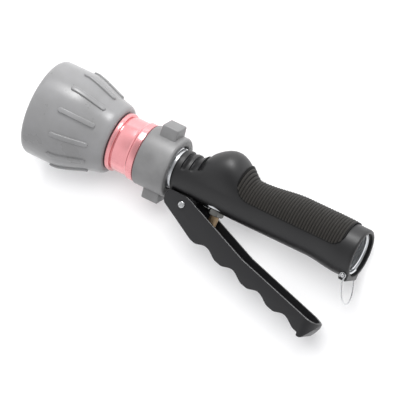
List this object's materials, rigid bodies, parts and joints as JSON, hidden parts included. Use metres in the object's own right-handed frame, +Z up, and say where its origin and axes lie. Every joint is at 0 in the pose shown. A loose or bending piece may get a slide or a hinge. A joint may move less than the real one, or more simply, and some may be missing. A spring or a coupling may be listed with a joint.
{
  "type": "fire hose nozzle",
  "caption": "Twist-to-adjust fog and stream fire hose nozzle with a rubber bumper, swivel coupling and squeeze-lever shut-off handle.",
  "frame": {"origin": "under the middle of the nozzle's box, on the surface that the nozzle lies on, on its side", "axes": "+X along the waterway from the spray head to the hose inlet, +Y towards the thumb bump, away from the lever, +Z up"},
  "size_m": [0.2832, 0.114, 0.0783],
  "materials": {
    "bumper_rubber": "moulded grey rubber, slightly satin",
    "coupling_grey": "grey hard-anodised satin",
    "red_anodised": "red anodised aluminium, satin with a lathe-turned sheen",
    "black_nylon": "fine-textured glass-filled nylon",
    "black_rubber": "soft black rubber with fine ribs",
    "bare_aluminium": "machined bright",
    "stainless": "bright stainless steel",
    "brass": "machined brass",
    "lever_black": "black powder-coated, worn bright along one edge",
    "seal_rubber": "nitrile rubber",
    "white_acetal": "acetal"
  },
  "bodies": {
    "handle": {"waterway_casting": "bare_aluminium", "grip_shell": "black_nylon", "palm_panel": "black_rubber", "grip_screw": "stainless", "inlet_socket": "bare_aluminium", "inlet_gasket": "seal_rubber", "valve_seat": "brass", "chamber_cap": "brass", "chamber_cap_o_ring": "seal_rubber", "valve_spring": "stainless", "packing_nut": "stainless", "stem_packing": "seal_rubber", "pivot_bush": "brass", "bail_rivet_upper": "stainless", "bail_rivet_lower": "stainless", "barrel": "red_anodised", "coupling_washer": "white_acetal", "coupling_gasket": "seal_rubber", "stem_spider": "brass", "baffle": "coupling_grey", "baffle_stem": "stainless", "stem_nut": "stainless"},
    "sleeve_carriage": {"sleeve_o_ring": "seal_rubber"},
    "pattern_head": {"rubber_bumper": "bumper_rubber", "pattern_sleeve": "coupling_grey", "fog_teeth_ring": "coupling_grey"},
    "coupling": {"swivel_coupling": "coupling_grey"},
    "lever": {"lever": "lever_black", "pivot_barrel": "stainless", "pivot_screw": "stainless"},
    "valve": {"valve_stem": "stainless", "poppet": "brass", "poppet_seal": "seal_rubber", "push_rod": "brass"},
    "bail": {"wire_bail": "stainless"}
  },
  "joints": [
    {"name": "pattern_travel", "type": "slide", "parent": "handle", "child": "sleeve_carriage", "axis": [-1, 0, 0], "range_m": [0, 0.00601]},
    {"name": "pattern_turn", "type": "hinge", "parent": "sleeve_carriage", "child": "pattern_head", "pos_m": [-0.10957, 0.01783, 0.03914], "axis": [-1, 0, 0], "range_deg": [0, 270]},
    {"name": "coupling_swivel", "type": "hinge", "parent": "handle", "child": "coupling", "pos_m": [-0.03557, 0.01783, 0.03914], "axis": [1, 0, 0], "continuous": true},
    {"name": "lever_squeeze", "type": "hinge", "parent": "handle", "child": "lever", "pos_m": [-0.00557, -0.00397, 0.03914], "axis": [0, 0, 1], "range_deg": [0, 15.5], "stiffness_Nm_per_rad": 2, "springref_deg": -8.59},
    {"name": "valve_lift", "type": "slide", "parent": "handle", "child": "valve", "axis": [0, 1, 0], "range_m": [0, 0.0061], "deforming": ["valve_spring"]},
    {"name": "bail_swing", "type": "hinge", "parent": "handle", "child": "bail", "pos_m": [0.13363, 0.00033, 0.03914], "axis": [0, 0, 1], "range_deg": [-20, 60]}
  ],
  "couplings": [
    {"joint": "pattern_travel", "follows": "pattern_turn", "m_per_rad": 0.0012732},
    {"joint": "valve_lift", "follows": "lever_squeeze", "m_per_rad": 0.0222}
  ]
}
